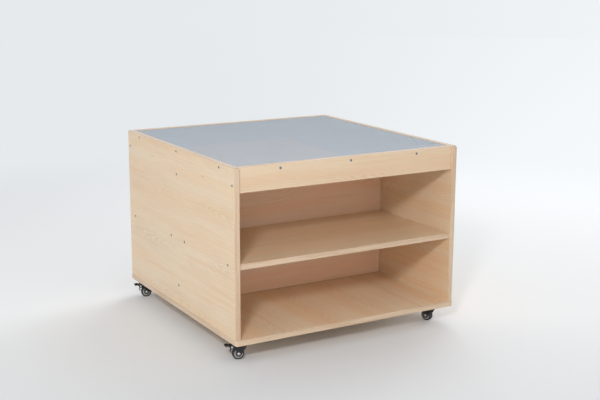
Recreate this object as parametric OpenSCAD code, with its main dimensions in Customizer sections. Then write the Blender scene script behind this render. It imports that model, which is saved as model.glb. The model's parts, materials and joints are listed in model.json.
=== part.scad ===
// A low square play table on swivel casters. Its top is a building surface of four stud plates
// inside a raised rim, and a centre divider with two shelves makes four open compartments under it.
// Origin: on the floor under the middle of the cabinet. +X right, +Y to the rear, +Z up.

/* [Building surface] */
// Width of the building surface, from side panel to side panel
top_w = 800; // [640:16:1120]
// Depth of the building surface, from apron to apron
top_d = 800; // [640:16:1120]
// Spacing of the studs
stud_pitch = 8; // [7:0.5:16]
// Diameter of a stud
stud_d = 4.9; // [4:0.1:5.5]
// Height of a stud above its sheet
stud_h = 1.7; // [1.2:0.1:2.4]
// Thickness of a stud plate's sheet
sheet_t = 1.5; // [1:0.1:2.5]
// Gap round each stud plate
plate_gap = 0.3; // [0.1:0.1:1]

/* [Boards] */
// Thickness of every board
board_t = 18; // [16:1:25]
// Height of the side panels
side_h = 542; // [460:1:720]
// Radius of the side panels' top corners
corner_r = 12; // [4:1:30]
// Rounding along the edges of the boards
edge_r = 1.5; // [0.5:0.25:3]
// Height of the aprons under the rim
apron_h = 80; // [72:1:140]
// Set-back of aprons and shelves from the side panels' edges
set_back = 7; // [3:1:15]
// Depth of the top board's face below the rim
top_sink = 5; // [4:0.5:12]
// Height of the shelves' upper face above the bottom panel
shelf_z = 240; // [150:1:320]
// How far the bottom panel stands out at the front and rear
base_lip = 6; // [1:1:15]
// How far the bottom panel stands out at the sides
base_side_lip = 1; // [1:1:10]
// Radius of the bottom panel's corners
base_r = 10; // [4:1:25]

/* [Board screws] */
// Diameter of a board screw's head
head_d = 9; // [8:0.5:11]
// Diameter of its shank
shank_d = 7; // [6:0.5:7.5]
// Diameter of its threaded part
thread_d = 5.4; // [4.5:0.1:5.6]
// Length of a board screw
board_screw_l = 50; // [40:1:60]
// How deep the heads lie in the board
head_sink = 0.4; // [0.1:0.1:1]
// Size across the flats of the key socket
key_af = 4; // [3:0.5:5]
// Spacing of the screws into the top board's sides
top_screw_pitch = 320; // [200:1:400]
// Drop from the rim to the apron's lower screw
apron_screw_drop = 56; // [40:1:66]
// Spacing of the screws through the aprons
apron_screw_pitch = 256; // [150:1:360]
// Height of the divider's lower screws above the bottom panel
divider_screw_low = 67; // [40:1:120]
// Drop from the divider's top edge to its upper screws
divider_screw_high = 68; // [40:1:120]
// Distance from the divider to a shelf's inner screw
shelf_screw_in = 45; // [20:1:100]
// Distance from a shelf's outer edge to its outer screw
shelf_screw_out = 42; // [20:1:100]
// Spacing of the screws up into the side panels
base_screw_pitch = 345; // [200:1:380]
// Spacing of the screws up into the divider
divider_screw_pitch = 300; // [150:1:360]
// Distance of the spare holes' plugs from the middle of a side panel
plug_y = 205; // [100:1:260]
// Drop from the rim to the plugs
plug_drop = 63; // [40:1:66]
// Diameter of a plug
plug_d = 5; // [4:0.5:8]

/* [Casters] */
// Height of a caster, from the floor to its mounting face
caster_h = 62; // [60:1:80]
// Diameter of a wheel
wheel_d = 38; // [34:1:42]
// Width of a tyre
tyre_w = 17; // [14:0.5:20]
// Radius of a tyre's shoulders
shoulder_r = 3; // [1:0.5:3.5]
// Radial thickness of a tyre
tyre_t = 4.6; // [4.2:0.1:6]
// Distance from the swivel axis back to the axle
trail = 16; // [14:0.5:22]
// Inset of the swivel axes from the side panels' outline
caster_inset = 50; // [45:1:90]
// Thickness of the fork's steel
fork_t = 2; // [1.5:0.1:2.5]
// Play between the wheel's hub and each leg of the fork
side_play = 0.3; // [0.2:0.05:0.6]
// Radius of a leg's end round the axle
leg_end_r = 9; // [7.5:0.5:10]
// Size of the square mounting plate
plate_w = 60; // [54:1:70]
// Thickness of the mounting plate
plate_t = 2.5; // [2:0.1:3]
// Spacing of the mounting screws
plate_screw_pitch = 45; // [42:1:48]
// Diameter of the ball race
race_d = 32; // [28:1:34]
// Diameter of a bearing ball
ball_d = 3; // [2.5:0.1:3.2]
// Number of bearing balls
ball_count = 14; // [8:1:18]
// Diameter of the kingpin
kingpin_d = 8; // [6:0.5:9]
// Diameter of the axle bolt
axle_d = 6; // [5:0.5:6.5]
// Outer diameter of the sleeve that the wheel turns on
sleeve_d = 8; // [7.5:0.1:8.5]
// Height of the brake pin above the axle
pin_rise = 24; // [23:0.5:25]
// Distance of the brake pin behind the tread
pin_back = 3; // [2:0.5:5]
// Diameter of the brake pin
pin_d = 4.8; // [4:0.1:5]
// Gap between the released brake tongue and the tread
brake_gap = 4.5; // [4.5:0.5:6]
// Width of the pedal's tread pad
pad_w = 20; // [18:1:24]
// Length of the pedal's tread pad
pad_l = 14; // [12:1:20]
// Thickness of the pedal's steel
pedal_t = 1.6; // [1.2:0.1:1.8]
// Diameter of a mounting screw
caster_screw_d = 4.5; // [3.5:0.5:5]
// Length of a mounting screw
caster_screw_l = 16; // [12:1:16]

/* [Hidden] */
CORNERS = ["front_left", "rear_left", "front_right", "rear_right"];
CORNER_SIGNS = [[-1, -1], [-1, 1], [1, -1], [1, 1]];
// Direction in which each wheel trails behind its swivel axis, in degrees from +X
HEADINGS = [169, 170, 109, 128];
// Casters that have a brake, as places in CORNERS
BRAKED = [0, 1];
CASTER_PIECES = ["caster_plate", "kingpin", "swivel_balls", "fork", "axle_bolt", "axle_sleeve", "hub", "tyre"];
BRAKE_PIECES = ["brake_pedal", "brake_pin"];

$fn = 48;
cut = 1;            // how far a cutting shape runs past the face it cuts
shave = 0.01;       // how far a cutting shape bites into a wall that it has to leave no skin on
hole_gap = 0.05;    // radial clearance of a screw or pin in its hole

// Cabinet
side_d = top_d + 2 * (board_t + set_back);
cabinet_w = top_w + 2 * board_t;
base_w = cabinet_w + 2 * base_side_lip;
base_d = side_d + 2 * base_lip;
base_top = caster_h + board_t;
rim_z = base_top + side_h;
top_z = rim_z - top_sink;
divider_h = side_h - top_sink - board_t;
shelf_d = (side_d - board_t) / 2 - set_back;
apron_y = (top_d + board_t) / 2;
top_mid_z = top_z - board_t / 2;
shelf_mid_z = base_top + shelf_z - board_t / 2;

// Board screws: [y, z] through a side panel, [x, z] through an apron, [x, y] up through the bottom panel
side_places = concat(
    [for (i = [-1, 0, 1]) [i * top_screw_pitch, top_mid_z]],
    [for (s = [-1, 1]) [s * apron_y, rim_z - apron_screw_drop]],
    [for (z = [base_top + divider_screw_low, top_z - board_t - divider_screw_high]) [0, z]],
    [for (s = [-1, 1], y = [board_t / 2 + shelf_screw_in, board_t / 2 + shelf_d - shelf_screw_out])
        [s * y, shelf_mid_z]]
);
apron_places = [for (i = [-1, 0, 1]) [i * apron_screw_pitch, top_mid_z]];
base_places = concat(
    [for (s = [-1, 1], i = [-1, 0, 1]) [s * (top_w + board_t) / 2, i * base_screw_pitch]],
    [for (i = [-1, 0, 1]) [i * divider_screw_pitch, 0]]
);

// Casters, in their own frame: the mounting face is z = 0, and the wheel trails along +x
axle_z = wheel_d / 2 - caster_h;
hub_w = tyre_w + 1;
fork_in = hub_w + 2 * side_play;
fork_out = fork_in + 2 * fork_t;
race_h = 2.5;               // height of the plate's race, above the balls
race_gap = 0.2 * ball_d;    // from the race down to the balls' middle, and on to the fork's cup
ball_z = -(plate_t + race_h + race_gap);
cup_z = ball_z - race_gap;
cup_h = 2;                  // height of the cup on the fork's yoke
yoke_z = cup_z - cup_h;
ball_ring_r = race_d / 2 - ball_d / 2 - 2.5;
ball_seat = 0.05;           // gap from a ball to the plate's groove
ball_play = 0.3;            // gap from a ball to the fork's groove
rivet_head_d = 14;
rivet_head_h = 1.9;
rivet_cone_h = 1.5;
rim_r = wheel_d / 2 - tyre_t;
bond_gap = 0.05;            // gap between the hub's rim and the tyre
pin_x = trail + wheel_d / 2 + pin_back;
pin_z = axle_z + pin_rise;
pin_boss_r = 6.5;           // radius of the fork's ears round the brake pin
tongue_x = trail + wheel_d / 2 + brake_gap;
pad_x = pin_x + pin_boss_r + 0.7;
screw_head_h = 2.4;

function is_braked(i) = len([for (b = BRAKED) if (b == i) b]) > 0;

// ---- Shapes that repeat ----

// A rectangle with one radius on its two lower corners and another on its two upper ones
module rounded_rect(w, h, low_r, high_r) {
    big = max(low_r, high_r);
    translate([0, big]) square([w, h - 2 * big]);
    translate([low_r, 0]) square([w - 2 * low_r, h / 2]);
    translate([high_r, h / 2]) square([w - 2 * high_r, h / 2]);
    translate([0, low_r]) square([w, h / 2 - low_r]);
    translate([0, h / 2]) square([w, h / 2 - high_r]);
    for (x = [low_r, w - low_r]) translate([x, low_r]) circle(low_r);
    for (x = [high_r, w - high_r]) translate([x, h - high_r]) circle(high_r);
}

// A board with every edge rounded. plan_r rounds its corners seen from above, and top_r its upper
// corners seen from the side
module board(x, y, z, plan_r = edge_r, top_r = edge_r) {
    intersection() {
        linear_extrude(z) rounded_rect(x, y, plan_r, plan_r);
        translate([0, y, 0]) rotate([90, 0, 0]) linear_extrude(y) rounded_rect(x, z, edge_r, edge_r);
        rotate([90, 0, 90]) linear_extrude(x) rounded_rect(y, z, edge_r, top_r);
    }
}

// The outline round two circles, made of the circles and the quadrilateral between their outer tangents
module link(p, p_r, q, q_r) {
    along = q - p;
    turn = atan2(along[1], along[0]);
    lean = acos((p_r - q_r) / norm(along));
    function rim_point(c, r, a) = c + r * [cos(a), sin(a)];
    translate(p) circle(p_r);
    translate(q) circle(q_r);
    polygon([
        rim_point(p, p_r, turn + lean),
        rim_point(q, q_r, turn + lean),
        rim_point(q, q_r, turn - lean),
        rim_point(p, p_r, turn - lean)
    ]);
}

// A rectangle standing on y = 0, centred on x = 0, with its two upper corners rounded
module arch(w, h, r) {
    translate([-w / 2, 0]) square([w, h - r]);
    translate([-w / 2 + r, 0]) square([w - 2 * r, h]);
    for (s = [-1, 1]) translate([s * (w / 2 - r), h - r]) circle(r);
}

// A folded channel's section: outer width w, wall t, bend radius r outside, open below
module channel_section(w, h, t, r) {
    difference() {
        arch(w, h, r);
        translate([0, -cut]) arch(w - 2 * t, h - t + cut, max(r - t, 0.3));
    }
}

// A board screw with its head at z = 0, pointing down. The same shape, grown by a gap, is its hole
module board_screw_body(gap = 0) {
    head_r = head_d / 2 + gap;
    shank_r = shank_d / 2 + gap;
    thread_r = thread_d / 2 + gap;
    lip = 0.6;
    rotate_extrude() polygon([
        [0, gap > 0 ? head_sink + cut : 0],
        [head_r, gap > 0 ? head_sink + cut : 0],
        [head_r, -lip],
        [shank_r, -lip - head_r + shank_r],
        [shank_r, -board_t + 1],
        [thread_r, -board_t + 1],
        [thread_r, -board_screw_l + 3],
        [1 + gap, -board_screw_l - gap],
        [0, -board_screw_l - gap]
    ]);
}

module board_screw() {
    difference() {
        board_screw_body();
        translate([0, 0, -3]) cylinder(d = key_af / cos(30), h = 3 + cut, $fn = 6);
    }
}

// Puts its children at each screw of one side panel, with their z axis pointing out of the panel
module at_side_screws(side) {
    for (p = side_places)
        translate([side * (cabinet_w / 2 - head_sink), p[0], p[1]]) rotate([0, side * 90, 0]) children();
}

module at_apron_screws() {
    for (s = [-1, 1], p = apron_places)
        translate([p[0], s * (apron_y + board_t / 2 - head_sink), p[1]]) rotate([-s * 90, 0, 0]) children();
}

module at_base_screws() {
    for (p = base_places) translate([p[0], p[1], caster_h + head_sink]) rotate([180, 0, 0]) children();
}

module side_holes(sides = [-1, 1]) {
    for (side = sides) at_side_screws(side) board_screw_body(hole_gap);
}

module apron_holes() {
    at_apron_screws() board_screw_body(hole_gap);
}

module base_holes() {
    at_base_screws() board_screw_body(hole_gap);
}

// Spare holes in a side panel, each closed by a plug
module at_plugs(side) {
    for (y = [-plug_y, plug_y])
        translate([side * (cabinet_w / 2 - head_sink), y, rim_z - plug_drop])
            rotate([0, side * 90, 0]) children();
}

// Puts its children in the frame of caster i
module at_caster(i) {
    x = cabinet_w / 2 - caster_inset;
    y = side_d / 2 - caster_inset;
    translate([CORNER_SIGNS[i][0] * x, CORNER_SIGNS[i][1] * y, caster_h]) children();
}

module at_turned_caster(i) {
    at_caster(i) rotate([0, 0, HEADINGS[i]]) children();
}

module at_axle() {
    translate([trail, 0, axle_z]) rotate([-90, 0, 0]) children();
}

module at_pin() {
    translate([pin_x, 0, pin_z]) rotate([-90, 0, 0]) children();
}

module at_plate_screws() {
    for (x = [-1, 1], y = [-1, 1])
        translate([x * plate_screw_pitch / 2, y * plate_screw_pitch / 2, 0]) children();
}

// ---- Cabinet ----

module side_panel(side) {
    color("#E0CBAE") difference() {
        translate([side * (top_w + board_t) / 2 - board_t / 2, -side_d / 2, base_top])
            board(board_t, side_d, side_h, edge_r, corner_r);
        side_holes([side]);
        at_plugs(side) translate([0, 0, -board_t / 2]) cylinder(d = plug_d, h = board_t);
        base_holes();
    }
}

module bottom_panel() {
    color("#DCC5A6") difference() {
        translate([-base_w / 2, -base_d / 2, caster_h]) board(base_w, base_d, board_t, base_r);
        base_holes();
        for (i = [0:3]) at_caster(i) at_plate_screws()
            translate([0, 0, -cut])
                cylinder(d = caster_screw_d + 2 * hole_gap, h = caster_screw_l - plate_t + cut);
    }
}

module centre_divider() {
    color("#D6BB9C") difference() {
        translate([-top_w / 2, -board_t / 2, base_top]) board(top_w, board_t, divider_h);
        side_holes();
        base_holes();
    }
}

module shelf(end) {
    color("#D8BE9E") difference() {
        translate([-top_w / 2, end * (board_t + shelf_d) / 2 - shelf_d / 2, base_top + shelf_z - board_t])
            board(top_w, shelf_d, board_t);
        side_holes();
    }
}

module apron(end) {
    color("#DEC6A8") difference() {
        translate([-top_w / 2, end * apron_y - board_t / 2, rim_z - apron_h]) board(top_w, board_t, apron_h);
        side_holes();
        apron_holes();
    }
}

module top_board() {
    color("#DCC5A6") difference() {
        translate([-top_w / 2, -top_d / 2, top_z - board_t]) board(top_w, top_d, board_t);
        side_holes();
        apron_holes();
    }
}

// One quarter of the building surface. Each row of studs is joined into one rib of the studs' width,
// height and spacing, from the row's first stud to its last
module stud_plate(i) {
    w = top_w / 2 - plate_gap;
    d = top_d / 2 - plate_gap;
    rows = floor(top_d / 2 / stud_pitch);
    row_l = (floor(top_w / 2 / stud_pitch) - 1) * stud_pitch + stud_d;
    translate([CORNER_SIGNS[i][0] * top_w / 4, CORNER_SIGNS[i][1] * top_d / 4, top_z]) color("#B2BAC4") {
        translate([-w / 2, -d / 2, 0]) cube([w, d, sheet_t]);
        for (row = [0:rows - 1])
            translate([-row_l / 2, (row - (rows - 1) / 2) * stud_pitch - stud_d / 2, sheet_t / 2])
                cube([row_l, stud_d, sheet_t / 2 + stud_h]);
    }
}

module side_screws(side) {
    color("#8C93A0") at_side_screws(side) board_screw();
}

module apron_screws() {
    color("#8C93A0") at_apron_screws() board_screw();
}

module base_screws() {
    color("#8C93A0") at_base_screws() board_screw();
}

module side_plugs() {
    color("#B08A66") for (side = [-1, 1]) at_plugs(side)
        translate([0, 0, -board_t / 2 + hole_gap])
            cylinder(d = plug_d - 2 * hole_gap, h = board_t / 2 - hole_gap);
}

// ---- Casters ----

// Ring of the ball race's groove, for a ball radius grown by a gap
module ball_groove(gap) {
    translate([0, 0, ball_z]) rotate_extrude() translate([ball_ring_r, 0]) circle(ball_d / 2 + gap);
}

module caster_plate() {
    corner = 6;
    color("#8B8F94") difference() {
        union() {
            translate([-plate_w / 2, -plate_w / 2, -plate_t]) linear_extrude(plate_t)
                rounded_rect(plate_w, plate_w, corner, corner);
            translate([0, 0, -plate_t - race_h]) cylinder(d = race_d, h = race_h + plate_t / 2);
        }
        ball_groove(ball_seat);
        translate([0, 0, -plate_t - race_h - cut])
            cylinder(d = kingpin_d + 2 * hole_gap, h = plate_t + race_h + 2 * cut);
        translate([0, 0, -rivet_cone_h])
            cylinder(d1 = kingpin_d, d2 = kingpin_d + 2 * (rivet_cone_h + cut), h = rivet_cone_h + cut);
        at_plate_screws() translate([0, 0, -plate_t - cut])
            cylinder(d = caster_screw_d + 1, h = plate_t + 2 * cut);
    }
}

// Rivet that holds the fork up under its plate and lets it turn
module kingpin() {
    low = yoke_z - fork_t - side_play;
    color("#A9ADB2") rotate_extrude() polygon([
        [0, low - rivet_head_h],
        [rivet_head_d / 3, low - rivet_head_h],
        [rivet_head_d / 2, low - rivet_head_h / 2],
        [rivet_head_d / 2, low],
        [kingpin_d / 2, low],
        [kingpin_d / 2, -rivet_cone_h + 0.1],
        [kingpin_d / 2 + rivet_cone_h - 0.5, -0.4],
        [0, -0.4]
    ]);
}

module swivel_balls() {
    color("silver") for (k = [0:ball_count - 1])
        rotate([0, 0, k * 360 / ball_count]) translate([ball_ring_r, 0, ball_z]) sphere(d = ball_d);
}

// Side view of the fork: legs from the yoke down to the axle, and out to the brake pin where it has one.
// It runs past the yoke's top, where the channel that it shapes ends
module fork_outline(braked) {
    front_r = 4;
    back_r = 7;
    front = [-10.5, yoke_z - front_r + 0.6];
    back = [trail + 1, yoke_z - back_r - 1];
    axle = [trail, axle_z];
    yoke_h = 9;
    link(axle, leg_end_r, front, front_r);
    link(axle, leg_end_r, back, back_r);
    polygon([front, axle, back]);
    translate([front[0], yoke_z - yoke_h]) square([back[0] + 5 - front[0], yoke_h + cut]);
    if (braked) link([pin_x, pin_z], pin_boss_r, [trail - 3, yoke_z - back_r], back_r);
}

// A pressed channel over the wheel, under the cup of the ball race. A braked one is open on top round its
// pedal, so that only its two ears reach the pin
module fork(braked) {
    reach = 80;
    bend_r = 3.5;
    leg_h = yoke_z - axle_z + leg_end_r + cut;
    pedal_room = pin_boss_r + 2.5;
    room_h = 8;
    color("#2E2F31") difference() {
        union() {
            intersection() {
                translate([-reach / 2, 0, yoke_z - leg_h]) rotate([90, 0, 90])
                    linear_extrude(1.5 * reach) channel_section(fork_out, leg_h, fork_t, bend_r);
                translate([0, fork_out, 0]) rotate([90, 0, 0])
                    linear_extrude(2 * fork_out) fork_outline(braked);
            }
            translate([0, 0, yoke_z - fork_t / 4]) cylinder(d = race_d, h = cup_h + fork_t / 4);
        }
        ball_groove(ball_play);
        translate([0, 0, yoke_z - fork_t - cut])
            cylinder(d = kingpin_d + 2 * hole_gap, h = fork_t + cup_h + 2 * cut);
        at_axle() cylinder(d = axle_d + 2 * hole_gap, h = 2 * fork_out, center = true);
        if (braked) at_pin() cylinder(d = pin_d + 2 * hole_gap, h = 2 * fork_out, center = true);
        if (braked) translate([pin_x - pedal_room, -fork_in / 2 - shave, yoke_z + cup_h - room_h])
            cube([reach, fork_in + 2 * shave, room_h]);
    }
}

// Shouldered bolt with a domed head on one side and a hexagonal nut on the other
module axle_bolt() {
    head_r = 5.2;
    dome_h = 3;
    nut_af = 10;
    nut_h = 4;
    end_l = 1.5;
    color("#C8CBCE") at_axle() {
        translate([0, 0, fork_out / 2]) domed_head(head_r, dome_h);
        translate([0, 0, -fork_out / 2 - nut_h - end_l])
            cylinder(d = axle_d, h = fork_out + nut_h + end_l + dome_h / 2);
        translate([0, 0, -fork_out / 2 - nut_h]) cylinder(d = nut_af / cos(30), h = nut_h, $fn = 6);
    }
}

// Spherical cap of radius r and height h on a short rim
module domed_head(r, h) {
    rim = 0.8;
    cap = h - rim;
    ball_r = (r * r + cap * cap) / (2 * cap);
    cylinder(r = r, h = rim);
    intersection() {
        cylinder(r = r, h = h);
        translate([0, 0, h - ball_r]) sphere(ball_r);
    }
}

module axle_sleeve() {
    color("#B9BDC1") at_axle() difference() {
        cylinder(d = sleeve_d, h = fork_in, center = true);
        cylinder(d = axle_d + 2 * hole_gap, h = 2 * fork_in, center = true);
    }
}

// Hub: a boss on the sleeve, a thin web, and the broad rim that carries the tyre
module hub() {
    boss_r = sleeve_d / 2 + 2.5;
    ring_r = rim_r - 4.3;
    web_w = 6;
    ring_w = tyre_w - 2.4;
    color("#C9C5BE") at_axle() difference() {
        union() {
            cylinder(r = boss_r, h = hub_w, center = true);
            cylinder(r = ring_r + 1, h = web_w, center = true);
            difference() {
                cylinder(r = rim_r - bond_gap, h = ring_w, center = true);
                cylinder(r = ring_r, h = 2 * ring_w, center = true);
            }
        }
        cylinder(d = sleeve_d + 2 * hole_gap, h = 2 * hub_w, center = true);
    }
}

// Tyre: a band of one section, flat on its tread and rounded at its shoulders
module tyre() {
    wheel_r = wheel_d / 2;
    color("#38383A") at_axle() rotate_extrude() difference() {
        union() {
            translate([0, -tyre_w / 2]) square([wheel_r - shoulder_r, tyre_w]);
            translate([0, -tyre_w / 2 + shoulder_r]) square([wheel_r, tyre_w - 2 * shoulder_r]);
            for (s = [-1, 1])
                translate([wheel_r - shoulder_r, s * (tyre_w / 2 - shoulder_r)]) circle(shoulder_r);
        }
        translate([0, -tyre_w]) square([rim_r, 2 * tyre_w]);
    }
}

// Foot lever: a tread pad with raised lips, a folded arm on the pin, and a tongue that swings to the tyre
module brake_pedal() {
    arm_w = fork_in - 1;
    arm_r = 5;
    arm_tip_r = 1.6;
    floor_z = pin_z + 3.4;
    lip_h = 4;
    pad_r = 3;
    tongue_root_w = arm_w - pedal_t;
    tongue_w = arm_w - 2 * pedal_t - 2;
    tongue_low = 18.5;
    color("#2A2A2C") difference() {
        union() {
            difference() {
                translate([pad_x, -pad_w / 2, floor_z]) linear_extrude(lip_h)
                    rounded_rect(pad_l, pad_w, pad_r, pad_r);
                translate([pad_x + pedal_t, -pad_w / 2 + pedal_t, floor_z + pedal_t]) linear_extrude(lip_h)
                    rounded_rect(pad_l - 2 * pedal_t, pad_w - 2 * pedal_t, pad_r / 2, pad_r / 2);
            }
            intersection() {
                translate([pin_x - arm_r - cut, 0, pin_z - 2 * arm_r]) rotate([90, 0, 90])
                    linear_extrude(pad_x + 2 - pin_x + arm_r) channel_section(arm_w, 3 * arm_r, pedal_t, 2);
                translate([0, arm_w, 0]) rotate([90, 0, 0]) linear_extrude(2 * arm_w)
                    link([pin_x, pin_z], arm_r, [pad_x + 1, floor_z + arm_tip_r], arm_tip_r);
            }
            translate([tongue_x, -tongue_root_w / 2, pin_z - 4.5]) cube([pedal_t, tongue_root_w, 3]);
            translate([tongue_x, -tongue_w / 2, pin_z - tongue_low]) cube([pedal_t, tongue_w, tongue_low - 2]);
        }
        at_pin() cylinder(d = pin_d + 2 * hole_gap, h = 2 * fork_out, center = true);
    }
}

module brake_pin() {
    head_r = 3.6;
    head_h = 1.6;
    color("#C8CBCE") at_pin() {
        cylinder(d = pin_d, h = fork_out, center = true);
        for (s = [0, 1]) mirror([0, 0, s]) translate([0, 0, fork_out / 2]) domed_head(head_r, head_h);
    }
}

// Pan-headed wood screws that hold the four mounting plates up
module caster_screws() {
    slot_l = 5;
    slot_w = 1;
    slot_h = 1.2;
    color("#9A9EA3") for (i = [0:3]) at_caster(i) at_plate_screws() difference() {
        union() {
            translate([0, 0, -plate_t]) mirror([0, 0, 1]) domed_head(4.5, screw_head_h);
            translate([0, 0, -plate_t - 0.5]) cylinder(d = caster_screw_d, h = caster_screw_l - 2);
            translate([0, 0, caster_screw_l - plate_t - 3])
                cylinder(d1 = caster_screw_d, d2 = 1, h = 2);
        }
        for (a = [0, 90]) rotate([0, 0, a]) translate([-slot_l / 2, -slot_w / 2, -plate_t - screw_head_h - cut])
            cube([slot_l, slot_w, slot_h + cut]);
    }
}

// ---- Nodes ----

side_panel(-1);  // left_side_panel
side_panel(1);  // right_side_panel
bottom_panel();
centre_divider();
shelf(-1);  // front_shelf
shelf(1);  // rear_shelf
apron(-1);  // front_apron
apron(1);  // rear_apron
top_board();
for (i = [0:3]) stud_plate(i);
side_screws(-1);  // left_side_screws
side_screws(1);  // right_side_screws
apron_screws();
base_screws();
side_plugs();
caster_screws();
for (i = [0:3]) at_caster(i) caster_plate();
for (i = [0:3]) at_caster(i) kingpin();
for (i = [0:3]) at_caster(i) swivel_balls();
for (i = [0:3]) at_turned_caster(i) fork(is_braked(i));
for (i = [0:3]) at_turned_caster(i) axle_bolt();
for (i = [0:3]) at_turned_caster(i) axle_sleeve();
for (i = [0:3]) at_turned_caster(i) hub();
for (i = [0:3]) at_turned_caster(i) tyre();
for (i = BRAKED) at_turned_caster(i) brake_pedal();
for (i = BRAKED) at_turned_caster(i) brake_pin();
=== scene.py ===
# Low square play table on four swivel casters: its looks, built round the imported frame.
# Lengths in the dictionaries are in millimetres, but in metres for the camera, floor and lamps.
import json
import math
import bpy
import bmesh
import numpy as np
from mathutils import Matrix, Vector


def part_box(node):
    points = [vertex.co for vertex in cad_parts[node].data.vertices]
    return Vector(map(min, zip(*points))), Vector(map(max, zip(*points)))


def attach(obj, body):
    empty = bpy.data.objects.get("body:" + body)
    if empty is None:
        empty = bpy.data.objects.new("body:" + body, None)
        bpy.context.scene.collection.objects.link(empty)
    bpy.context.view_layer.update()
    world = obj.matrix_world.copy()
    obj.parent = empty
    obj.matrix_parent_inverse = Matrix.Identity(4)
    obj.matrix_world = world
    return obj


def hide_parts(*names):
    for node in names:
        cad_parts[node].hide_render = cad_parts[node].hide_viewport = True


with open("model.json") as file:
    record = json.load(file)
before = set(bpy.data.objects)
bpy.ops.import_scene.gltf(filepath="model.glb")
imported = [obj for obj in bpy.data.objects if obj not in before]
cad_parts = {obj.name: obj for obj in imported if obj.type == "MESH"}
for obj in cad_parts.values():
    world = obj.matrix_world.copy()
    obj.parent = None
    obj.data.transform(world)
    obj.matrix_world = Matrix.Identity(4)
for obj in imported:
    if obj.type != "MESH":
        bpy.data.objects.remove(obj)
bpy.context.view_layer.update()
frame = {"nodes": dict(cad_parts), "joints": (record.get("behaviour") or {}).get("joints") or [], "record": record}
nodes = frame["nodes"]
joints = {joint["name"]: joint for joint in frame["joints"]}
bodyOf = {name: body for body, names in frame["record"]["behaviour"]["bodies"].items() for name in names}
corners = ("front_left", "rear_left", "front_right", "rear_right")
brakedCorners = corners[:2]
mm = 0.001
near = 0.01 * mm  # places closer than this count as one
doublesGap = 0.002 * mm  # points of a mesh closer than this are merged
flatAngle = 0.4  # faces that turn by fewer degrees are one flat
sharpAngle = 35  # edges that turn by more degrees shade sharp
print("frame loaded:", len(nodes), "nodes")


# One hex colour as Blender's linear values, by the sRGB curve
def linear(colour):
    parts = np.array([int(colour[i:i + 2], 16) for i in (1, 3, 5)]) / 255
    values = np.where(parts <= 0.04045, parts / 12.92, ((parts + 0.055) / 1.055) ** 2.4)
    return (*values.tolist(), 1.0)


# One node with its own settings, and its inputs by name or in their order, as numbers, colours or other nodes'
# outputs. It gives back the node, or the output that is asked for.
def addNode(tree, kind, inputs, out=None, **settings):
    made = tree.nodes.new("ShaderNode" + kind)
    for key, value in settings.items():
        setattr(made, key, value)
    for key, value in (inputs.items() if isinstance(inputs, dict) else enumerate(inputs)):
        if isinstance(value, bpy.types.NodeSocket):
            tree.links.new(value, made.inputs[key])
        else:
            made.inputs[key].default_value = value
    return made if out is None else made.outputs[out]


# A new material with an empty tree, its surface shader and the object's coordinates
def startMaterial(name, **constants):
    made = bpy.data.materials.new(name)
    made.use_nodes = True
    tree = made.node_tree
    tree.nodes.clear()
    shader = addNode(tree, "BsdfPrincipled", constants)
    addNode(tree, "OutputMaterial", {"Surface": shader.outputs[0]})
    return made, tree, shader, addNode(tree, "TexCoord", {}, "Object")


# Noise stretched to its own size along each axis, in millimetres, moved by a seed, and carried from the given
# range to another with soft ends
def grain(tree, place, sizes, seed, span, to=(0.0, 1.0), detail=2.0):
    moved = addNode(tree, "Mapping", {"Vector": place, "Location": (seed, seed * 1.7, seed * 0.6),
                                      "Scale": [1 / (size * mm) for size in sizes]}, 0)
    noise = addNode(tree, "TexNoise", {"Vector": moved, "Scale": 1.0, "Detail": detail}, "Fac")
    return addNode(tree, "MapRange", {"Value": noise, "From Min": span[0], "From Max": span[1], "To Min": to[0],
                                      "To Max": to[1]}, 0, interpolation_type="SMOOTHSTEP")


# A mesh object from whole arrays: points, and one index array for each count of face corners
def meshObject(name, points, faceSets, material):
    mesh = bpy.data.meshes.new(name)
    mesh.vertices.add(len(points))
    mesh.vertices.foreach_set("co", np.asarray(points, np.float32).ravel())
    loops = np.concatenate([np.asarray(faces).ravel() for faces in faceSets])
    sizes = np.concatenate([np.full(len(faces), np.shape(faces)[1]) for faces in faceSets])
    mesh.loops.add(len(loops))
    mesh.loops.foreach_set("vertex_index", loops.astype(np.int32))
    mesh.polygons.add(len(sizes))
    mesh.polygons.foreach_set("loop_start", (np.cumsum(sizes) - sizes).astype(np.int32))
    mesh.update(calc_edges=True)
    mesh.validate()
    return shownObject(name, mesh, material)


# Puts a mesh in the scene, smooth but for its sharp edges
def shownObject(name, mesh, material, angle=sharpAngle):
    mesh.materials.clear()
    mesh.materials.append(material)
    shadeSmooth(mesh, angle)
    made = bpy.data.objects.new(name, mesh)
    bpy.context.scene.collection.objects.link(made)
    return made


# Smooth shading, but for edges that turn by more degrees than the angle
def shadeSmooth(mesh, angle=sharpAngle):
    mesh.shade_smooth()
    mesh.set_sharp_from_angle(angle=math.radians(angle))


# Where the photograph was taken from, solved from the straight edges of the cabinet
camera = {"place": (-1.86325, -3.28751, 1.23971), "yaw": 30.3206, "pitch": 12.4338, "roll": 0.2534,
          "focalPixels": 1095.65, "middle": (300.478, 197.71), "picture": (600, 400), "sensor": 36.0,
          "clip": (0.05, 60.0)}


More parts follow.
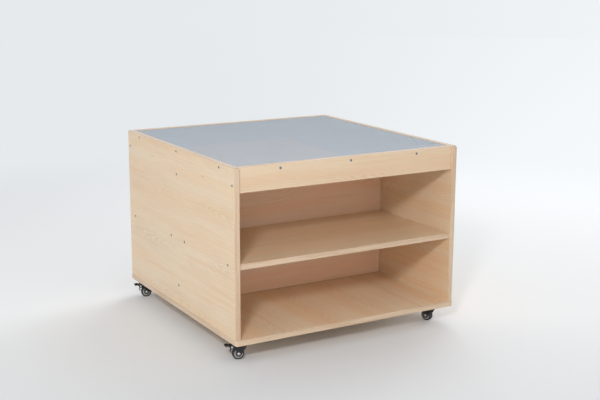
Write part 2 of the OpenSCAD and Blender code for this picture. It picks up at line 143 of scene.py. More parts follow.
# Camera axes: right and up turned by the roll, and backwards against the line of sight
def makeCamera():
    yaw, pitch, roll = (math.radians(camera[key]) for key in ("yaw", "pitch", "roll"))
    ahead = np.array([math.sin(yaw) * math.cos(pitch), math.cos(yaw) * math.cos(pitch), -math.sin(pitch)])
    side = np.array([math.cos(yaw), -math.sin(yaw), 0.0])
    above = np.cross(side, ahead)
    right = side * math.cos(roll) + above * math.sin(roll)
    up = above * math.cos(roll) - side * math.sin(roll)
    width, height = camera["picture"]
    data = bpy.data.cameras.new("camera")
    data.sensor_width = camera["sensor"]
    data.lens = camera["focalPixels"] / width * camera["sensor"]
    data.shift_x = (width / 2 - camera["middle"][0]) / width
    data.shift_y = (camera["middle"][1] - height / 2) / width
    data.clip_start, data.clip_end = camera["clip"]
    made = bpy.data.objects.new("camera", data)
    bpy.context.scene.collection.objects.link(made)
    turn = np.eye(4)
    turn[:3, 0], turn[:3, 1], turn[:3, 2], turn[:3, 3] = right, up, -ahead, camera["place"]
    made.matrix_world = Matrix(turn.tolist())
    bpy.context.scene.camera = made


# Paper backdrop, with painted light: lighter towards the side where more light falls
backdrop = {"dark": "#E6EAED", "light": "#F5F9FC", "from": -0.15, "to": 0.55,
            "paintedLightTowards": (0.863, -0.505, 0.0)}


# What the studio shows in seen rays: the backdrop's tones by direction
def seenBackdrop(tree, direction):
    # painted light: the backdrop's tone grows lighter towards one side
    side = addNode(tree, "VectorMath", {0: direction, 1: backdrop["paintedLightTowards"]}, "Value",
                   operation="DOT_PRODUCT")
    share = addNode(tree, "MapRange", {"Value": side, "From Min": backdrop["from"], "From Max": backdrop["to"]}, 0,
                    interpolation_type="SMOOTHSTEP")
    return addNode(tree, "Mix", {0: share, 6: linear(backdrop["dark"]), 7: linear(backdrop["light"])}, 2,
                   data_type="RGBA")


# 1 for seen rays, which are those of the camera, of gloss and through glass, and 0 for those that carry light from
# surface to surface
def seenRays(tree):
    ray = addNode(tree, "LightPath", {})
    seen = addNode(tree, "Math", {0: ray.outputs["Is Glossy Ray"], 1: ray.outputs["Is Transmission Ray"]}, 0,
                   operation="MAXIMUM")
    return addNode(tree, "Math", {0: ray.outputs["Is Camera Ray"], 1: seen}, 0, operation="MAXIMUM")


# Pale painted studio floor, flat and matt. Seen rays get its paint with a gain, which grows a little towards the
# right and the rear as painted light, where more light falls; the others get a warmer tone that it gives back. Far
# off it glows with the backdrop's tones.
floor = {"radius": 14.0, "rings": 24, "around": 96, "paint": "#DCDEE0", "bounce": "#DFDAD3", "roughness": 0.75,
         "ior": 1.5, "gain": 1.135, "paintedLightSlope": (0.096, 0.164, 0.0), "gainLeast": 0.85, "gainMost": 1.12,
         "fadeFrom": 1.9, "fadeTo": 3.4}


# A disc of rings, their radii growing as the square of the ring number
def makeFloor():
    material, tree, shader, place = startMaterial("painted_floor", Roughness=floor["roughness"], IOR=floor["ior"])
    seen = seenRays(tree)
    # painted light: the seen paint grows lighter towards the right and the rear
    slope = addNode(tree, "VectorMath", {0: place, 1: floor["paintedLightSlope"]}, "Value", operation="DOT_PRODUCT")
    gain = addNode(tree, "Math", (slope, floor["gain"]), 0, operation="ADD")
    gain = addNode(tree, "Clamp", (gain, floor["gainLeast"], floor["gainMost"]), 0)
    bright = addNode(tree, "VectorMath", {0: linear(floor["paint"])[:3], "Scale": gain}, 0, operation="SCALE")
    paint = addNode(tree, "Mix", {0: seen, 6: linear(floor["bounce"]), 7: bright}, 2, data_type="RGBA")
    tree.links.new(paint, shader.inputs["Base Color"])
    distance = addNode(tree, "VectorMath", (place,), "Value", operation="LENGTH")
    far = addNode(tree, "MapRange", {"Value": distance, "From Min": floor["fadeFrom"],
                                     "From Max": floor["fadeTo"]}, 0, interpolation_type="SMOOTHSTEP")
    toward = addNode(tree, "VectorMath", (place,), 0, operation="NORMALIZE")
    glow = addNode(tree, "Emission", {"Color": seenBackdrop(tree, toward), "Strength": 1.0}, 0)
    share = addNode(tree, "Math", (far, seen), 0, operation="MULTIPLY")
    mixed = addNode(tree, "MixShader", {0: share, 1: shader.outputs[0], 2: glow}, 0)
    tree.links.new(mixed, next(node for node in tree.nodes if node.type == "OUTPUT_MATERIAL").inputs["Surface"])
    rings, around = floor["rings"], floor["around"]
    radii = floor["radius"] * (np.arange(1, rings + 1) / rings) ** 2
    turn = np.arange(around) * 2 * math.pi / around
    points = np.stack([np.outer(radii, np.cos(turn)), np.outer(radii, np.sin(turn)),
                       np.zeros((rings, around))], -1).reshape(-1, 3)
    grid = np.arange(rings * around).reshape(rings, around)
    after = np.roll(grid, -1, axis=1)
    quads = np.stack([grid[:-1], grid[1:], after[1:], after[:-1]], -1).reshape(-1, 4)
    meshObject("floor", points, [quads, grid[:1]], material)


# White studio lamps that look at the table's middle: where each stands, its side lengths and its watts
lamps = {
    "key": {"place": (-2.35, -3.05, 2.25), "size": (0.45, 0.45), "watts": 66.3},
    "leftFill": {"place": (-4.0, 0.6, 1.7), "size": (2.6, 2.2), "watts": 21.0},
    "frontFill": {"place": (-1.3, -4.6, 0.75), "size": (3.6, 1.3), "watts": 17.5},
    "backRight": {"place": (2.2, 1.9, 3.3), "size": (2.4, 2.4), "watts": 50.0},
    "rightFill": {"place": (7.0, 2.4, 1.6), "size": (4.0, 2.2), "watts": 180.0},
}
studio = {"middle": (0.0, 0.0, 0.33), "sky": "#FFFFFF", "skyStrength": 0.58}


# Area lamps turned to the middle, and an even sky that lights surfaces but isn't seen
def makeLights():
    for name, lamp in lamps.items():
        data = bpy.data.lights.new(name, "AREA")
        data.shape = "RECTANGLE"
        data.size, data.size_y = lamp["size"]
        data.energy = lamp["watts"]
        made = bpy.data.objects.new(name, data)
        bpy.context.scene.collection.objects.link(made)
        made.location = lamp["place"]
        toward = np.array(studio["middle"]) - np.array(lamp["place"])
        made.rotation_mode = "QUATERNION"
        made.rotation_quaternion = Vector(toward).to_track_quat("-Z", "Y")
    world = bpy.data.worlds.new("studio")
    world.use_nodes = True
    bpy.context.scene.world = world
    tree = world.node_tree
    tree.nodes.clear()
    light = addNode(tree, "Background", {"Color": linear(studio["sky"]), "Strength": studio["skyStrength"]}, 0)
    direction = addNode(tree, "TexCoord", {}, "Generated")
    shown = addNode(tree, "Background", {"Color": seenBackdrop(tree, direction), "Strength": 1.0}, 0)
    mixed = addNode(tree, "MixShader", {0: seenRays(tree), 1: light, 2: shown}, 0)
    addNode(tree, "OutputWorld", {"Surface": mixed})


makeCamera()
makeFloor()
makeLights()
bpy.context.scene.view_settings.view_transform = "Standard"
print("camera, floor and lamps made")


# Chipboard faced with a melamine sheet that is printed with beech: satin, pale and warm, with rows of faint
# arches, reddish streaks and a shallow pore. A plastic band of a pinker beech is glued round the edges, and the
# glue line shows faintly. The divider's edges are dark bare board, which also paints the shade in the crease at
# its foot.
beech = {
    "ring": "#C4A078", "streak": "#DDB892", "fibre": "#C3A07A", "glueLine": "#A08064",
    "band": "#D5BFA6", "bandStreak": "#BC9C7C", "raw": "#8A6A48", "rawStreak": "#6E5236",
    "ior": 1.5, "roughness": 0.35, "fibreRoughness": 0.05, "bandRoughness": 0.2,
    "poreStrength": 0.25, "poreDepth": 0.04,
    "rowPitch": 185, "rowShift": 40, "rowReach": (22.0, 80.0), "pithDepth": 15, "taper": 0.1,
    "ringPitch": 5.5, "ringRise": (0.15, 0.85), "ringFall": (0.86, 1.0),
    "ringShare": 0.31, "lineShare": 0.1033, "fibreShare": 0.2, "fleckShare": 0.26, "glueShare": 0.12,
    "glueDepth": (0.16, 0.05), "faceDepth": (0.05, 0.02),
    "arris": 0.8, "dividerArris": 1.6, "arrisSteps": 3, "arrisReach": 3.6, "footRounding": 1.5,
}
# The noises of its figure: length along the grain, width across it and depth into the board, a seed of its own,
# the range of the noise that counts, what that range becomes, and how fine the noise goes
figure = {
    "wander": ((380, 260, 400), 0, (0.3, 0.7), (-14, 14), 2),
    "rough": ((170, 26, 60), 2, (0.25, 0.75), (-4.5, 4.5), 2),
    "patches": ((260, 60, 300), 3, (0.36, 0.62), (0.15, 1), 2),
    "line": ((420, 4.5, 30), 4, (0.5, 0.72), (0, 1), 3),
    "tone": ((900, 42, 300), 5, (0.36, 0.64), (0, 1), 3),
    "streak": ((480, 13, 60), 6, (0.54, 0.7), (0, 0.36), 2),
    "fibre": ((60, 1.6, 20), 7, (0.4, 0.75), (0, 1), 3),
    "fleck": ((5, 0.8, 4), 9, (0.66, 0.74), (0, 1), 1),
    "bandFine": ((45, 45, 1.3), 11, (0.4, 0.66), (0, 0.28), 3),
    "bandBroad": ((240, 240, 8), 13, (0.42, 0.58), (0, 0.38), 1),
}
# Each board's thickness axis, grain axis, seed, middle of one row of arches, which way they point, and the pale
# and warm tones of its sheet. The tones differ from board to board as painted light: the boards seen inside the
# compartments, the divider most, are warmer and pinker for the warm light bounced in there.
boards = {
    "left_side_panel": (0, 1, 2.3, 277, 1, "#E2D0B6", "#E2CAAB"),
    "right_side_panel": (0, 1, 7.9, 427, 1, "#E6CFB2", "#E7C7A4"),
    "bottom_panel": (2, 1, 4.4, -60, -1, "#EAD5B9", "#EBCCAA"),
    "centre_divider": (1, 0, 9.2, 430, 1, "#E9C9B0", "#EAC0A2"),
    "front_shelf": (2, 0, 5.7, -205, -1, "#E5CFB1", "#E6C5A2"),
    "rear_shelf": (2, 0, 11.3, 205, 1, "#E5CFB1", "#E6C5A2"),
    "front_apron": (1, 0, 13.6, 528, 1, "#DDC8AE", "#DCC1A4"),
    "rear_apron": (1, 0, 17.2, 590, -1, "#DDC8AE", "#DCC1A4"),
    "top_board": (2, 0, 19.5, 30, 1, "#E2CFB1", "#E3C6A2"),
}


# The figure is what a saw cuts from a tapering trunk: rings of the distance from a wandering pith line that lies
# under the face, plus a part of the way along the grain, which bends them to arches. Across the board the pith
# lines repeat in rows. Streaks, fibres and flecks run along the grain.
def beechMaterial(name, thick, grainAxis, seed, rowMiddle, way, pale, warm):
    material, tree, shader, place = startMaterial("beech_laminate_" + name, IOR=beech["ior"])
    across, pitch = 3 - thick - grainAxis, beech["rowPitch"]
    noise = {}
    for key, (lengths, ownSeed, span, to, detail) in figure.items():
        lengthAlong = dict(zip((grainAxis, across, thick), lengths))
        sizes = [lengthAlong[axis] for axis in range(3)]
        noise[key] = grain(tree, place, sizes, seed + ownSeed, span, to, detail)
    scaled = addNode(tree, "VectorMath", {0: place, "Scale": 1 / mm}, 0, operation="SCALE")
    axes = addNode(tree, "SeparateXYZ", (scaled,)).outputs
    # rows of pith lines, and how far each point is from its own one
    wandered = addNode(tree, "Math", (axes[across], noise["wander"]), 0, operation="ADD")
    rows = addNode(tree, "Math", (wandered, 1 / pitch, 0.5 - rowMiddle / pitch), 0, operation="MULTIPLY_ADD")
    inRow = addNode(tree, "Math", (rows,), 0, operation="FRACT")
    fromPith = addNode(tree, "Math", (inRow, pitch, -pitch / 2), 0, operation="MULTIPLY_ADD")
    squared = addNode(tree, "Math", (fromPith, fromPith, beech["pithDepth"] ** 2), 0, operation="MULTIPLY_ADD")
    distance = addNode(tree, "Math", (squared,), 0, operation="SQRT")
    # rings: the distance, the taper's part, a shift of each row's own and a little roughness, in ring pitches
    row = addNode(tree, "Math", (rows,), 0, operation="FLOOR")
    rowSeed = addNode(tree, "Math", (row, seed), 0, operation="ADD")
    shift = addNode(tree, "TexWhiteNoise", {"W": rowSeed}, "Value", noise_dimensions="1D")
    tapered = addNode(tree, "Math", (axes[grainAxis], way * beech["taper"], distance), 0, operation="MULTIPLY_ADD")
    shifted = addNode(tree, "Math", (shift, beech["rowShift"], tapered), 0, operation="MULTIPLY_ADD")
    roughened = addNode(tree, "Math", (shifted, noise["rough"]), 0, operation="ADD")
    turns = addNode(tree, "Math", (roughened, beech["ringPitch"]), 0, operation="DIVIDE")
    turn = addNode(tree, "Math", (turns,), 0, operation="FRACT")
    rising = addNode(tree, "MapRange", {"Value": turn, "From Min": beech["ringRise"][0],
                                        "From Max": beech["ringRise"][1]}, 0, interpolation_type="SMOOTHSTEP")
    falling = addNode(tree, "MapRange", {"Value": turn, "From Min": beech["ringFall"][0],
                                         "From Max": beech["ringFall"][1], "To Min": 1.0, "To Max": 0.0}, 0)
    sideways = addNode(tree, "Math", (fromPith,), 0, operation="ABSOLUTE")
    nearPith = addNode(tree, "MapRange", {"Value": sideways, "From Min": beech["rowReach"][0],
                                          "From Max": beech["rowReach"][1], "To Min": 1.0, "To Max": 0.0}, 0,
                       interpolation_type="SMOOTHSTEP")
    ring = addNode(tree, "Math", (rising, falling), 0, operation="MULTIPLY")
    ring = addNode(tree, "Math", (ring, nearPith), 0, operation="MULTIPLY")
    ring = addNode(tree, "Math", (ring, noise["patches"]), 0, operation="MULTIPLY")
    # the sheet's print: pale and warm tones, reddish streaks, rings with fine lines, fibres and flecks
    lineShare = addNode(tree, "Math", (noise["line"], beech["lineShare"]), 0, operation="MULTIPLY")
    drawn = addNode(tree, "Math", (ring, beech["ringShare"], lineShare), 0, operation="MULTIPLY_ADD")
    fleckShare = addNode(tree, "Math", (noise["fleck"], beech["fleckShare"]), 0, operation="MULTIPLY")
    marks = addNode(tree, "Math", (noise["fibre"], beech["fibreShare"], fleckShare), 0, operation="MULTIPLY_ADD")
    colour = addNode(tree, "Mix", {0: noise["tone"], 6: linear(pale), 7: linear(warm)}, 2, data_type="RGBA")
    for share, key in ((noise["streak"], "streak"), (drawn, "ring"), (marks, "fibre")):
        colour = addNode(tree, "Mix", {0: share, 6: colour, 7: linear(beech[key])}, 2, data_type="RGBA")
    # the edge starts where the surface leaves the flat of the face: a plastic band, or bare board
    low, high = (np.array(corner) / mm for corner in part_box(name))
    half = float(high[thick] - low[thick]) / 2
    fromMiddle = addNode(tree, "Math", (axes[thick], float(low[thick] + high[thick]) / 2), 0, operation="SUBTRACT")
    depth = addNode(tree, "Math", (fromMiddle,), 0, operation="ABSOLUTE")
    both = addNode(tree, "Math", (noise["bandFine"], noise["bandBroad"]), 0, operation="ADD")
    # the divider's dark bare edges also paint the shade in the crease at its foot
    edge = ("raw", "rawStreak") if name == "centre_divider" else ("band", "bandStreak")
    banded = addNode(tree, "Mix", {0: both, 6: linear(beech[edge[0]]), 7: linear(beech[edge[1]])}, 2,
                     data_type="RGBA")
    glue = addNode(tree, "MapRange", {"Value": depth, "From Min": half - beech["glueDepth"][0],
                                      "From Max": half - beech["glueDepth"][1], "To Max": beech["glueShare"]}, 0)
    banded = addNode(tree, "Mix", {0: glue, 6: banded, 7: linear(beech["glueLine"])}, 2, data_type="RGBA")
    onFace = addNode(tree, "MapRange", {"Value": depth, "From Min": half - beech["faceDepth"][0],
                                        "From Max": half - beech["faceDepth"][1]}, 0)
    colour = addNode(tree, "Mix", {0: onFace, 6: banded, 7: colour}, 2, data_type="RGBA")
    tree.links.new(colour, shader.inputs["Base Color"])
    satin = addNode(tree, "Math", (noise["fibre"], beech["fibreRoughness"], beech["roughness"]), 0,
                    operation="MULTIPLY_ADD")
    gloss = addNode(tree, "Mix", {0: onFace, 2: beech["bandRoughness"], 3: satin}, 0)
    tree.links.new(gloss, shader.inputs["Roughness"])
    pores = addNode(tree, "Math", (noise["fibre"], noise["fleck"]), 0, operation="ADD")
    raised = addNode(tree, "Bump", {"Strength": beech["poreStrength"], "Distance": beech["poreDepth"] * mm,
                                    "Height": pores}, 0, invert=True)
    tree.links.new(raised, shader.inputs["Normal"])
    return material


# Outline of a rounded rectangle: straight runs between quarter circles, as one closed ring of points
def roundedOutline(low, high, radius, steps):
    turn = (np.arange(4)[:, None] + np.linspace(0, 1, steps)) * math.pi / 2
    centres = np.array([[high[0], high[1]], [low[0], high[1]], [low[0], low[1]], [high[0], low[1]]])
    centres = centres + radius * np.array([[-1, -1], [1, -1], [1, 1], [-1, 1]])
    return (centres[:, None, :] + radius * np.stack([np.cos(turn), np.sin(turn)], -1)).reshape(-1, 2)


# Rings of equal point counts, stacked bottom to top: their points, their sides, and a flat face for each end
def stackedRings(rings):
    count, around = rings.shape[:2]
    grid = np.arange(count * around).reshape(count, around)
    after = np.roll(grid, -1, axis=1)
    sides = np.stack([grid[:-1], after[:-1], after[1:], grid[1:]], -1).reshape(-1, 4)
    return rings.reshape(-1, 3), sides, np.stack([grid[0, ::-1], grid[-1]])


# A slab's outline carried up a profile whose two edges are quarter circles: inset and level of each ring
def slabRings(low, high, cornerRadius, edge, cornerSteps, edgeSteps):
    turn = np.linspace(0, math.pi / 2, edgeSteps)
    inset = edge * np.concatenate([1 - np.sin(turn), 1 - np.cos(turn)])
    level = np.concatenate([low[2] + edge * (1 - np.cos(turn)), high[2] - edge * (1 - np.sin(turn))])
    outlines = [roundedOutline(low[:2] + gap, high[:2] - gap, cornerRadius - gap, cornerSteps) for gap in inset]
    return np.stack([np.column_stack([ring, np.full(len(ring), z)]) for ring, z in zip(outlines, level)])


# Merges a mesh's doubles and joins its flat faces
def mergeFlat(mesh):
    work = bmesh.new()
    work.from_mesh(mesh)
    bmesh.ops.remove_doubles(work, verts=work.verts, dist=doublesGap)
    bmesh.ops.dissolve_limit(work, angle_limit=math.radians(flatAngle), verts=work.verts, edges=work.edges)
    work.to_mesh(mesh)
    work.free()


# A copy of a CAD solid's mesh, merged
def mergedMesh(node):
    mesh = nodes[node].data.copy()
    mesh.name = node + "_rounded"
    mergeFlat(mesh)
    return mesh


# The points of a mesh as one array, a row each
def meshPoints(mesh):
    points = np.empty(len(mesh.vertices) * 3, np.float32)
    mesh.vertices.foreach_get("co", points)
    return points.reshape(-1, 3).astype(float)


# Cuts a side panel's foot square, as a saw leaves it: points in the rounding at the foot go down to the foot's
# plane, and straight out from the flat to the panel's upright outline, whose own corners stay rounded
def squareFoot(mesh, low, high):
    points = meshPoints(mesh)
    edge = beech["footRounding"] * mm
    middle, flat = ((low + high) / 2)[:2], ((high - low) / 2)[:2] - edge
    offset = points[:, :2] - middle
    over = np.maximum(np.abs(offset) - flat, 0)
    reach = np.linalg.norm(over, axis=1)
    rounding = (points[:, 2] > low[2] + near) & (points[:, 2] < low[2] + edge - near) & (reach > near)
    outward = over[rounding] / reach[rounding, None] * edge
    onFlat = np.minimum(np.abs(offset[rounding]), flat)
    points[rounding, :2] = middle + np.sign(offset[rounding]) * (onFlat + outward)
    points[rounding, 2] = low[2]
    mesh.vertices.foreach_set("co", points.astype(np.float32).ravel())
    mergeFlat(mesh)


# Gives a piece its body, and hides the CAD node that it stands for
def settle(made, node):
    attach(made, bodyOf[node])
    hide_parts(node)


# Lets the large faces of a piece shade flat up to their holes and rounded edges
def keepFlat(made):
    flatten = made.modifiers.new("flat faces", "WEIGHTED_NORMAL")
    flatten.weight, flatten.keep_sharp = 100, True


# A board with an arris round its outline: edges on a face plane within a few millimetres of the outline, and
# the short ones at its square corners
def makeBoard(name, thick, *cut):
    mesh = mergedMesh(name)
    low, high = (np.array(corner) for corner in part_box(name))
    onBase = name.endswith("side_panel")
    if onBase:
        squareFoot(mesh, low, high)
    pairs = np.empty(len(mesh.edges) * 2, np.int32)
    mesh.edges.foreach_get("vertices", pairs)
    ends = meshPoints(mesh)[pairs.reshape(-1, 2)]
    middle, half = (low + high) / 2, (high - low) / 2
    flat = [axis for axis in range(3) if axis != thick]
    spots = np.concatenate([ends, ends.mean(1, keepdims=True)], 1)
    inside = (half - np.abs(spots - middle))[..., flat]
    nearOutline = (inside.min(-1) < beech["arrisReach"] * mm).all(1)
    depths = ends[..., thick] - middle[thick]
    onPlane = (np.abs(depths) > half[thick] - near).all(1)
    samePlane = depths[:, 0] * depths[:, 1] > 0
    atCorner = (inside < near).all(-1).all(1)
    atFoot = (ends[..., 2] < low[2] + near).all(1) & onBase
    chosen = ((nearOutline & onPlane & samePlane) | (atCorner & onPlane)) & ~atFoot
    weights = mesh.attributes.new("bevel_weight_edge", "FLOAT", "EDGE")
    weights.data.foreach_set("value", chosen.astype(np.float32))
    made = shownObject(name + "_board", mesh, beechMaterial(name, thick, *cut))
    bevel = made.modifiers.new("arris", "BEVEL")
    width = beech["dividerArris"] if name == "centre_divider" else beech["arris"]
    bevel.limit_method, bevel.width, bevel.segments = "WEIGHT", width * mm, beech["arrisSteps"]
    keepFlat(made)
    settle(made, name)


# Roundings of the bottom panel's corners and edges, and how far in from its rim the CAD solid is left out
bottomPanel = {"cornerRadius": 10, "cornerSteps": 9, "edge": 1.8, "edgeSteps": 6, "rimReach": 3.3}


# The bottom panel's rim is a slab's, so that its rounding follows the corners. It keeps the walls of the CAD
# solid's holes, and the two flat faces are filled in between.
def makeBottomPanel(name, thick, *cut):
    low, high = (np.array(corner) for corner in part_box(name))
    rim = slabRings(low, high, bottomPanel["cornerRadius"] * mm, bottomPanel["edge"] * mm,
                    bottomPanel["cornerSteps"], bottomPanel["edgeSteps"])
    points, sides, _ = stackedRings(rim)
    made = meshObject(name + "_board", points, [sides], beechMaterial(name, thick, *cut))
    work = bmesh.new()
    work.from_mesh(nodes[name].data)
    bmesh.ops.remove_doubles(work, verts=work.verts, dist=doublesGap)
    places = np.array([vertex.co for vertex in work.verts])
    level = np.where(abs(places[:, 2] - low[2]) < near, -1, np.where(abs(places[:, 2] - high[2]) < near, 1, 0))
    inside = np.minimum(places - low, high - places)[:, :2].min(1)
    outer = inside < bottomPanel["rimReach"] * mm
    work.verts.index_update()
    groups = [[vertex.index for vertex in face.verts] for face in work.faces]
    dropped = [face for face, group in zip(work.faces, groups)
               if outer[group].any() or abs(level[group].sum()) == len(group)]
    bmesh.ops.delete(work, geom=dropped, context="FACES")
    work.from_mesh(made.data)
    for height in (low[2], high[2]):
        rimEdges = [edge for edge in work.edges
                    if edge.is_boundary and all(abs(vertex.co.z - height) < near for vertex in edge.verts)]
        bmesh.ops.triangle_fill(work, use_beauty=True, use_dissolve=True, edges=rimEdges)
    bmesh.ops.recalc_face_normals(work, faces=work.faces)
    work.to_mesh(made.data)
    work.free()
    shadeSmooth(made.data)
    keepFlat(made)
    settle(made, name)


for name, board in boards.items():
    make = makeBottomPanel if name == "bottom_panel" else makeBoard
    make(name, *board)
print("boards made")


# Four moulded ABS plates, light blue grey and softly glossy, with rounded rims and chamfered studs. The first, at
# the front left, is slightly lighter and warmer.
plate = {
    "colour": "#B2B9C1", "firstColour": "#B8BBC0", "cloud": "#8F98A6", "cloudShare": 0.05, "cloudSize": 90,
    "roughness": (0.46, 0.55), "glossSize": 25, "ior": 1.54,
    "mouldSize": 0.6, "mouldStrength": 0.12, "mouldDepth": 0.02,
    "studs": 50, "pitch": 8.0, "studWidth": 4.9, "studHeight": 1.7, "chamfer": 0.25, "sides": 12, "root": 0.1,
    "sheet": 1.5, "cornerRadius": 1.0, "cornerSteps": 5, "rim": 0.35, "rimSteps": 4,
}


# A cloudy tone that is hardly there, a gloss that varies in patches of its own, and the fine grain of the mould
def plateMaterial(name, colour):
    material, tree, shader, place = startMaterial(name, IOR=plate["ior"])
    cloud = grain(tree, place, (plate["cloudSize"],) * 3, 1.3, (0.3, 0.7), (0.0, plate["cloudShare"]), 3.0)
    shade = addNode(tree, "Mix", {0: cloud, 6: linear(colour), 7: linear(plate["cloud"])}, 2, data_type="RGBA")
    tree.links.new(shade, shader.inputs["Base Color"])
    gloss = grain(tree, place, (plate["glossSize"],) * 3, 2.1, (0.3, 0.7), plate["roughness"])
    tree.links.new(gloss, shader.inputs["Roughness"])
    mould = grain(tree, place, (plate["mouldSize"],) * 3, 0.4, (0.0, 1.0))
    raised = addNode(tree, "Bump", {"Strength": plate["mouldStrength"], "Distance": plate["mouldDepth"] * mm,
                                    "Height": mould}, 0)
    tree.links.new(raised, shader.inputs["Normal"])
    return material


# The sheet is its outline carried up a profile with rounded edges. Each stud is a ring of points carried up
# its side and in over its chamfer, and the studs' centres are a square grid.
def makePlate(node, material):
    low, high = (np.array(corner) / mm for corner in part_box(node))
    top = low[2] + plate["sheet"]
    sheet = slabRings(low, np.array([*high[:2], top]), plate["cornerRadius"], plate["rim"], plate["cornerSteps"],
                      plate["rimSteps"])
    sheetPoints, sheetSides, sheetCaps = stackedRings(sheet)
    radius = plate["studWidth"] / 2
    profile = np.array([[radius, top - plate["root"]], [radius, top + plate["studHeight"] - plate["chamfer"]],
                        [radius - plate["chamfer"], top + plate["studHeight"]]])
    around = np.arange(plate["sides"]) * 2 * math.pi / plate["sides"]
    stud = np.stack([np.outer(profile[:, 0], np.cos(around)), np.outer(profile[:, 0], np.sin(around)),
                     np.repeat(profile[:, 1:], plate["sides"], 1)], -1)
    studPoints, studSides, studCaps = stackedRings(stud)
    steps = (np.arange(plate["studs"]) - (plate["studs"] - 1) / 2) * plate["pitch"]
    middle = (low + high) / 2
    across, along = np.meshgrid(middle[0] + steps, middle[1] + steps)
    centres = np.stack([across.ravel(), along.ravel(), np.zeros(across.size)], -1)
    allPoints = np.concatenate([sheetPoints, (centres[:, None] + studPoints[None]).reshape(-1, 3)])
    starts = len(sheetPoints) + np.arange(len(centres)) * len(studPoints)
    sides = np.concatenate([sheetSides, (starts[:, None, None] + studSides[None]).reshape(-1, 4)])
    caps = (starts[:, None, None] + studCaps[None]).reshape(-1, plate["sides"])
    settle(meshObject(node + "_moulding", allPoints * mm, [sides, sheetCaps, caps], material), node)


plateAbs = plateMaterial("abs_moulded_plate", plate["colour"])
firstPlateAbs = plateMaterial("abs_moulded_plate_warmer", plate["firstColour"])
for corner in corners:
    makePlate("stud_plate_" + corner, firstPlateAbs if corner == "front_left" else plateAbs)
print("building surface made")


# Zinc-plated steel: bluish passivated zinc, its crystals a soft mottle in tint and gloss
# Black coated steel: dipped paint, with a slight orange peel that breaks up its highlights
# Hardened steel balls are polished. Nylon, thermoplastic rubber and polypropylene are as moulded, each with a
# fine matt grain.
finishes = {
    "zincScrews": {"name": "zinc_plated_screws", "colour": "#9CA2A8", "second": "#80868D", "metallic": 1.0,
                   "roughness": 0.38, "mottle": 1.2, "grainSize": 0.25, "bump": 0.1},
    "zinc": {"name": "zinc_plated_steel", "colour": "#C9CCCF", "second": "#AAAEB3", "metallic": 1.0,
             "roughness": 0.3, "mottle": 2.5, "grainSize": 0.3, "bump": 0.1},
    "balls": {"name": "hardened_steel_balls", "colour": "#D5D8DB", "second": "#C2C6CA", "metallic": 1.0,
              "roughness": 0.12, "mottle": 1.5, "grainSize": 0.3, "bump": 0.03},
    "black": {"name": "black_coated_steel", "colour": "#1D1D20", "second": "#26262A", "metallic": 0.0,
              "roughness": 0.36, "mottle": 3.0, "grainSize": 0.7, "bump": 0.25, "ior": 1.5},
    "nylon": {"name": "grey_nylon_hub", "colour": "#B3B1AC", "second": "#A4A29C", "metallic": 0.0,
              "roughness": 0.48, "mottle": 3.0, "grainSize": 0.35, "bump": 0.2, "ior": 1.53},
    "rubber": {"name": "thermoplastic_rubber_tyre", "colour": "#28282A", "second": "#343436", "metallic": 0.0,
               "roughness": 0.62, "mottle": 4.0, "grainSize": 0.3, "bump": 0.35, "ior": 1.5},
    "plug": {"name": "polypropylene_plug", "colour": "#9A7350", "second": "#8C6544", "metallic": 0.0,
             "roughness": 0.5, "mottle": 2.0, "grainSize": 0.3, "bump": 0.15, "ior": 1.49},
}
# What they share: the ranges of the mottle's noise, how far it moves the gloss, and the depth of the grain
mottling = {"tones": (0.32, 0.68), "gloss": (0.3, 0.7), "glossLeast": 0.88, "glossMost": 1.15, "grainDepth": 0.03}


# Two tones mixed by a mottle, with the gloss following it, and a fine grain in the bump. A metal keeps the
# default IOR, which is 1.5.
def finishMaterial(name, colour, second, metallic, roughness, mottle, grainSize, bump, ior=1.5):
    material, tree, shader, place = startMaterial(name, Metallic=metallic, IOR=ior)
    cloud = grain(tree, place, (mottle,) * 3, 0.8, mottling["tones"], detail=3.0)
    tones = addNode(tree, "Mix", {0: cloud, 6: linear(colour), 7: linear(second)}, 2, data_type="RGBA")
    tree.links.new(tones, shader.inputs["Base Color"])
    glossRange = (roughness * mottling["glossLeast"], roughness * mottling["glossMost"])
    gloss = grain(tree, place, (mottle,) * 3, 0.8, mottling["gloss"], glossRange, 3.0)
    tree.links.new(gloss, shader.inputs["Roughness"])
    fine = grain(tree, place, (grainSize,) * 3, 0.2, (0.0, 1.0))
    raised = addNode(tree, "Bump", {"Strength": bump, "Distance": mottling["grainDepth"] * mm, "Height": fine}, 0)
    tree.links.new(raised, shader.inputs["Normal"])
    return material


surfaces = {key: finishMaterial(**finish) for key, finish in finishes.items()}

# Rounding of the pressed parts: bevel radii and steps, and the angles that are rounded and that shade sharp
pressed = {"radius": 0.35, "plateRadius": 0.25, "steps": 2, "roundedFrom": 40, "sharpFrom": 30}


# A merged copy of a CAD solid, its sharp edges rounded by a bevel and its curved faces shaded smooth
def roundedCopy(node, radius, material):
    copy = shownObject(node + "_rounded", mergedMesh(node), material, pressed["sharpFrom"])
    bevel = copy.modifiers.new("edges", "BEVEL")
    bevel.limit_method, bevel.angle_limit = "ANGLE", math.radians(pressed["roundedFrom"])
    bevel.width, bevel.segments = radius * mm, pressed["steps"]
    settle(copy, node)


# Gives a CAD node that stays a better material
def coat(node, key):
    for slot in nodes[node].material_slots:
        slot.material = surfaces[key]


for corner in corners:
    roundedCopy("fork_" + corner, pressed["radius"], surfaces["black"])
    roundedCopy("caster_plate_" + corner, pressed["plateRadius"], surfaces["zinc"])
    coat("kingpin_" + corner, "zinc")
    coat("swivel_balls_" + corner, "balls")
    coat("axle_sleeve_" + corner, "zinc")
    coat("axle_bolt_" + corner, "zinc")
for corner in brakedCorners:
    roundedCopy("brake_pedal_" + corner, pressed["radius"], surfaces["black"])
    coat("brake_pin_" + corner, "zinc")
for node in ("left_side_screws", "right_side_screws", "apron_screws", "base_screws"):
    coat(node, "zincScrews")
coat("caster_screws", "zinc")
coat("side_plugs", "plug")
print("casters' pressed parts and screws finished")


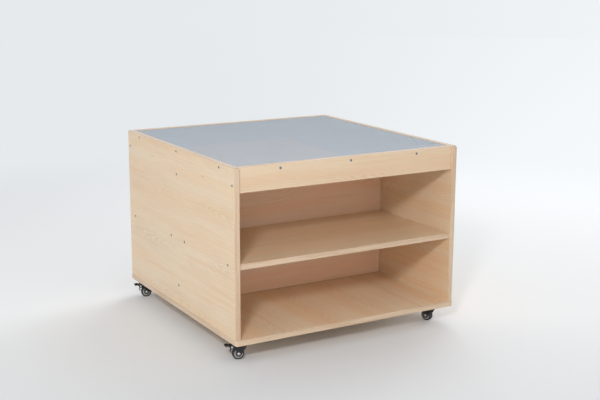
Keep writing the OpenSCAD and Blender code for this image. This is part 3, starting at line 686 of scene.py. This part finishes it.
# Wheel: a tyre with a mould line round its middle, on a hub of boss, web and rim
wheel = {
    "sides": 96, "radius": 19.0, "tyreWidth": 17.0, "tyreThick": 4.6, "shoulder": 3.0, "bead": 0.4, "tyreSteps": 8,
    "lineHalf": 0.25, "lineDepth": 0.3,
    "hubBore": 4.2, "bossWall": 2.4, "bossProud": 0.4, "bossDraft": 0.3, "webHalf": 3.0, "rimWall": 4.3,
    "rimDraft": 0.4, "rimInset": 1.2, "tyreGap": 0.02, "hubRadii": (0.3, 0.6, 1.0, 1.0, 0.7, 0.5), "hubSteps": 5,
}


# A closed section with each corner rounded by its own radius: the corner's two touching points, and between them
# a circle by the sines of the shares of its angle
def roundedSection(section, radii, steps):
    points, count = np.array(section, float), len(section)
    out = []
    for i in range(count):
        here, before, after = points[i], points[i - 1], points[(i + 1) % count]
        radius = radii[i]
        if radius == 0:
            out.append(here[None])
            continue
        first = (before - here) / np.linalg.norm(before - here)
        second = (after - here) / np.linalg.norm(after - here)
        angle = math.acos(np.clip(first @ second, -1, 1))
        reach = radius / math.tan(angle / 2)
        centre = here + (first + second) / np.linalg.norm(first + second) * radius / math.sin(angle / 2)
        start, end = here + first * reach - centre, here + second * reach - centre
        share = np.linspace(0, 1, steps)[:, None]
        sweep = math.pi - angle
        out.append(centre + (np.sin((1 - share) * sweep) * start + np.sin(share * sweep) * end) / math.sin(sweep))
    return np.concatenate(out)


# A section that is the same on both sides of the wheel's middle plane, from its half on the lower side, radius
# first, and any points that lie between the two halves
def bothSides(half, radii, between, steps):
    other = [(radius, -level) for radius, level in reversed(half)]
    return roundedSection([*half, *between, *other], [*radii, *[0] * len(between), *reversed(radii)], steps)


# A closed section turned about an axis: each of its points goes round a circle of its own radius
def turned(name, section, centre, axis, material):
    sides = wheel["sides"]
    axis = np.array(axis, float) / np.linalg.norm(axis)
    first = np.cross(axis, [0.0, 0.0, 1.0])
    first = first / np.linalg.norm(first)
    second = np.cross(axis, first)
    turn = np.arange(sides) * 2 * math.pi / sides
    spokes = np.outer(np.cos(turn), first) + np.outer(np.sin(turn), second)
    points = section[:, None, :1] * spokes[None] + section[:, None, 1:] * axis
    grid = np.arange(len(section) * sides).reshape(len(section), sides)
    below, after = np.roll(grid, -1, axis=0), np.roll(grid, -1, axis=1)
    quads = np.stack([grid, after, np.roll(below, -1, axis=1), below], -1).reshape(-1, 4)
    made = meshObject(name, points.reshape(-1, 3) * mm + np.array(centre), [quads], material)
    work = bmesh.new()
    work.from_mesh(made.data)
    bmesh.ops.recalc_face_normals(work, faces=work.faces)
    work.to_mesh(made.data)
    work.free()
    return made


# Lower half of the tyre: from the bead out along its side, round the shoulder and in to the mould line
def tyreSection():
    half, inner, outer = wheel["tyreWidth"] / 2, wheel["radius"] - wheel["tyreThick"], wheel["radius"]
    lower = [(inner, -half), (outer, -half), (outer, -wheel["lineHalf"])]
    return bothSides(lower, (wheel["bead"], wheel["shoulder"], 0), [(outer - wheel["lineDepth"], 0)],
                     wheel["tyreSteps"])


# Lower half of the hub: from the bore over the boss, down to the web and out round the rim
def hubSection():
    half, outside = wheel["tyreWidth"] / 2, wheel["radius"] - wheel["tyreThick"]
    bore, boss = wheel["hubBore"], wheel["hubBore"] + wheel["bossWall"]
    bossHalf, webHalf, rimHalf = half + wheel["bossProud"], wheel["webHalf"], half - wheel["rimInset"]
    ring = outside - wheel["rimWall"]
    lower = [(bore, -bossHalf), (boss, -bossHalf), (boss + wheel["bossDraft"], -webHalf), (ring, -webHalf),
             (ring + wheel["rimDraft"], -rimHalf), (outside - wheel["tyreGap"], -rimHalf)]
    return bothSides(lower, wheel["hubRadii"], (), wheel["hubSteps"])


for corner in corners:
    joint = joints[corner + "_roll"]
    for part, section, key, slot in (("tyre_", tyreSection(), "rubber", "tyre_rubber"),
                                     ("hub_", hubSection(), "nylon", "hub_plastic")):
        made = turned(part + corner + "_moulding", section, joint["pos_m"], joint["axis"], surfaces[key])
        settle(made, part + corner)
print("wheels made")
